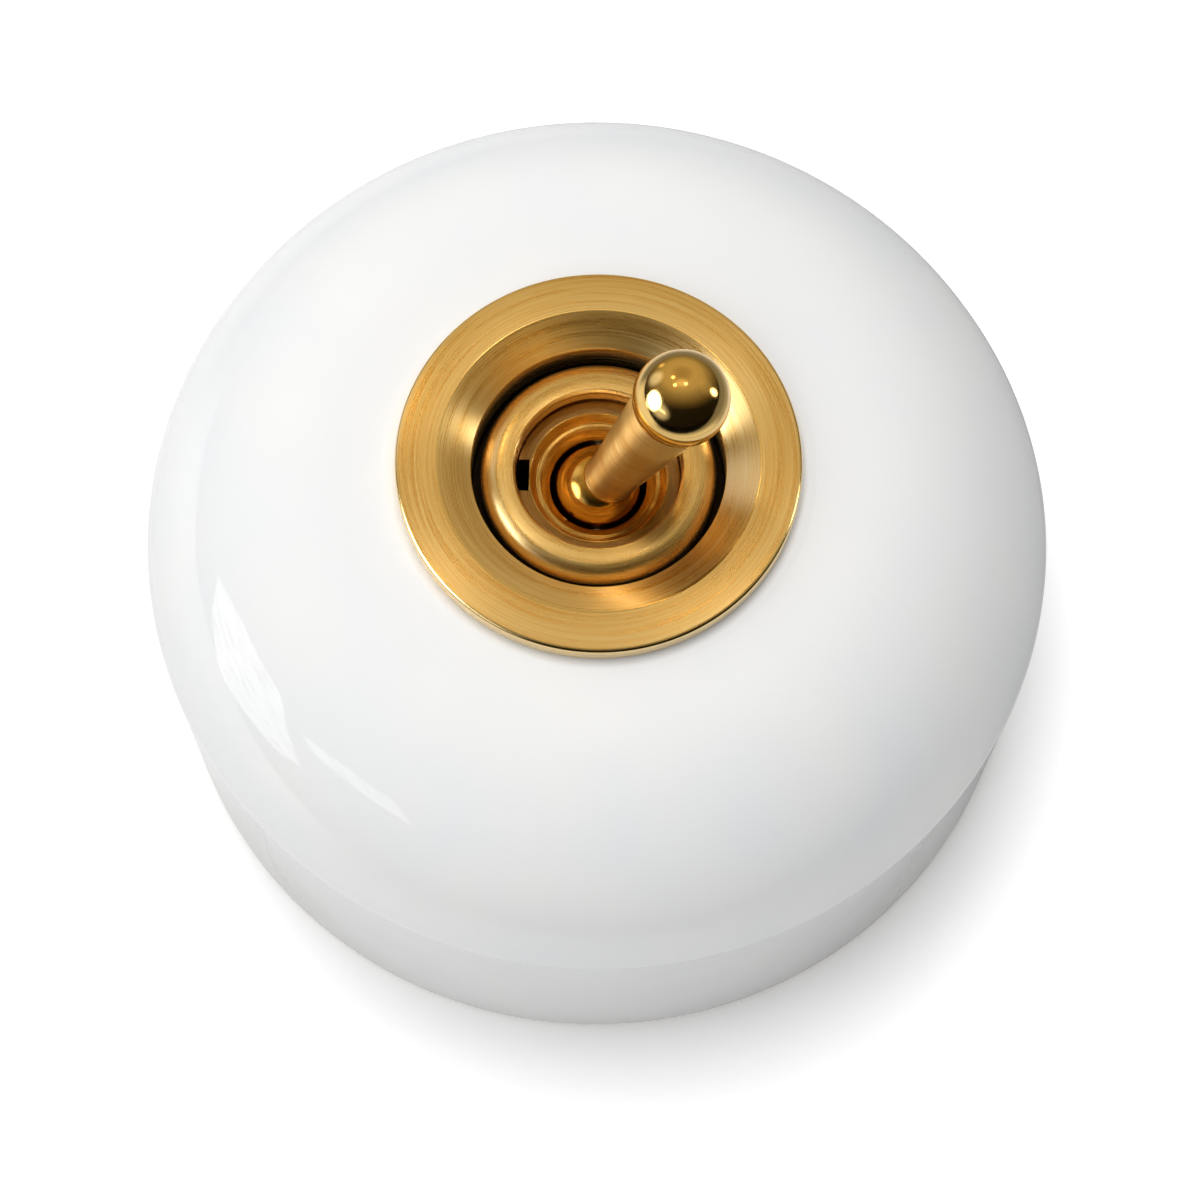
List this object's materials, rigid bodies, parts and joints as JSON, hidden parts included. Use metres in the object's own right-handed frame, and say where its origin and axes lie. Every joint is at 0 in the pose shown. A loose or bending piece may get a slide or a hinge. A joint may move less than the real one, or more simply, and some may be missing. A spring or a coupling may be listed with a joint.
{
  "type": "dolly light switch",
  "caption": "Round surface-mounted switch: domed porcelain cover, brass bezel and ring nut, and a ball-ended dolly working a two-way rocker on a porcelain base.",
  "frame": {"origin": "centre of the back, where the cover's rim and the base meet the wall", "axes": "+Z points out of the wall along the bush, +X is the way the dolly leans at rest"},
  "size_m": [0.08, 0.08, 0.058],
  "materials": {
    "glazed_porcelain": "glossy white glaze",
    "turned_brass": "turned, finely brushed and lacquered",
    "polished_brass": "polished",
    "sheet_brass": "rolled sheet and bar, bright",
    "screw_brass": "turned screws",
    "fibre": "red vulcanised fibre",
    "moulded_phenolic": "moulded",
    "silver": "silver contact faces",
    "screw_steel": "zinc plated",
    "spring_steel": "drawn wire"
  },
  "bodies": {
    "switch_body": {"porcelain_cover": "glazed_porcelain", "base_plate": "glazed_porcelain", "bezel_ring": "turned_brass", "ring_nut": "turned_brass", "threaded_bush": "turned_brass", "bush_lock_nut": "sheet_brass", "cover_washer": "fibre", "bridge": "sheet_brass", "pivot_pin": "screw_steel", "common_contact": "sheet_brass", "fixed_contact_left": "sheet_brass", "fixed_contact_right": "sheet_brass", "fixed_tip_left": "silver", "fixed_tip_right": "silver", "rocker_axle": "screw_steel", "terminal_left": "sheet_brass", "clamp_screw_left": "screw_brass", "block_screw_left": "screw_steel", "terminal_right": "sheet_brass", "clamp_screw_right": "screw_brass", "block_screw_right": "screw_steel", "terminal_common": "sheet_brass", "clamp_screw_common": "screw_brass", "block_screw_common": "screw_steel", "terminal_earth": "sheet_brass", "clamp_screw_earth": "screw_brass", "block_screw_earth": "screw_steel", "bridge_screw_left": "screw_steel", "bridge_nut_left": "screw_steel", "bridge_screw_right": "screw_steel", "bridge_nut_right": "screw_steel"},
    "dolly": {"dolly": "polished_brass", "plunger_spring": "spring_steel"},
    "plunger": {"plunger": "fibre"},
    "rocker": {"moving_contact": "sheet_brass", "rocker_saddle": "moulded_phenolic", "moving_tip_left": "silver", "moving_tip_right": "silver"}
  },
  "joints": [
    {"name": "dolly_swing", "type": "hinge", "parent": "switch_body", "child": "dolly", "pos_m": [0, 0, 0.03346], "axis": [0, -1, 0], "range_deg": [0, 35]},
    {"name": "rocker_tilt", "type": "hinge", "parent": "switch_body", "child": "rocker", "pos_m": [0, 0, 0.018], "axis": [0, 1, 0], "range_deg": [0, 17.5]},
    {"name": "plunger_slide", "type": "slide", "parent": "dolly", "child": "plunger", "axis": [0.3007, 0, 0.9537], "range_m": [0, 0.0012], "stiffness_N_per_m": 300, "springref_m": -0.0015, "deforming": ["plunger_spring"]}
  ],
  "couplings": [
    {"joint": "rocker_tilt", "follows": "dolly_swing", "ratio": 0.5}
  ]
}
